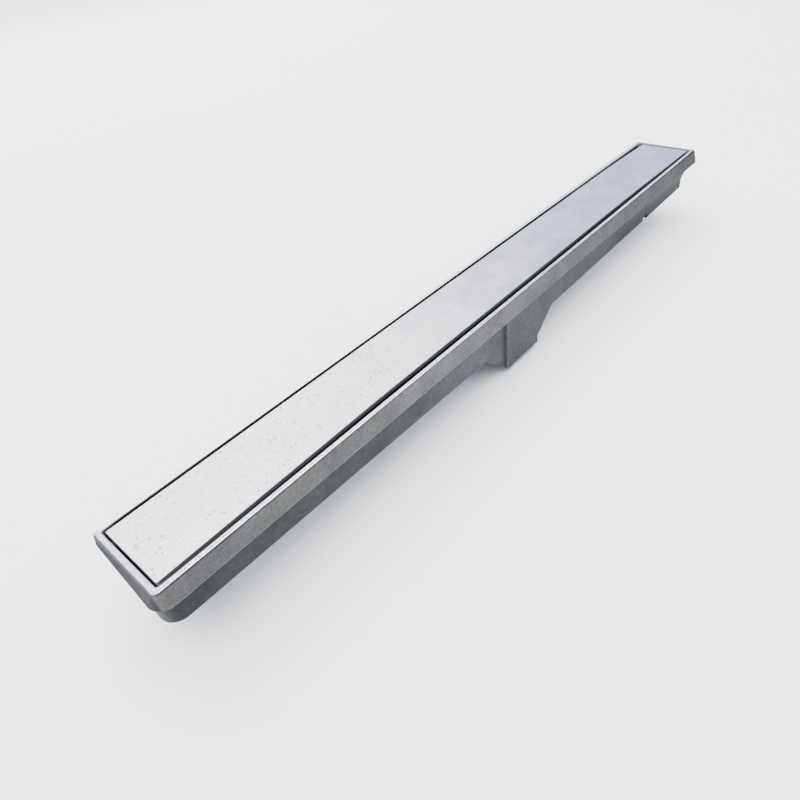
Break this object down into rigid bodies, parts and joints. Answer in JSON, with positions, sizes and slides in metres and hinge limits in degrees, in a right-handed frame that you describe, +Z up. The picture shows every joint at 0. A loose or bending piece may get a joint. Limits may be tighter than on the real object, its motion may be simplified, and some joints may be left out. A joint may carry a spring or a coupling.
{
  "type": "linear shower drain",
  "caption": "Long, narrow cast floor drain: flared rim, plain flat cover with a slot all round, and a wedge-shaped sump with a short round outlet.",
  "frame": {"origin": "middle of the outlet spigot's end, on the plane that the drain stands on", "axes": "+X along the drain to its short stepped end, +Y across it, +Z up through the cover"},
  "size_m": [0.7065, 0.0785, 0.0715],
  "materials": {
    "casting": "sand cast, the land of the rim finished bright",
    "cover": "satin, with fine casting pits",
    "rubber": "matt",
    "steel": "brushed",
    "plastic": "matt"
  },
  "bodies": {
    "root": {"channel_body": "casting", "cover_plate": "cover", "hair_strainer": "steel", "trap_bell": "plastic", "outlet_sleeve": "plastic", "sleeve_seal": "rubber", "cover_pad_1": "rubber", "cover_pad_2": "rubber", "cover_pad_3": "rubber", "cover_pad_4": "rubber", "cover_pad_5": "rubber", "cover_pad_6": "rubber", "cover_pad_7": "rubber", "cover_pad_8": "rubber", "cover_pad_9": "rubber", "cover_pad_10": "rubber", "cover_pad_11": "rubber", "cover_pad_12": "rubber"}
  },
  "joints": []
}
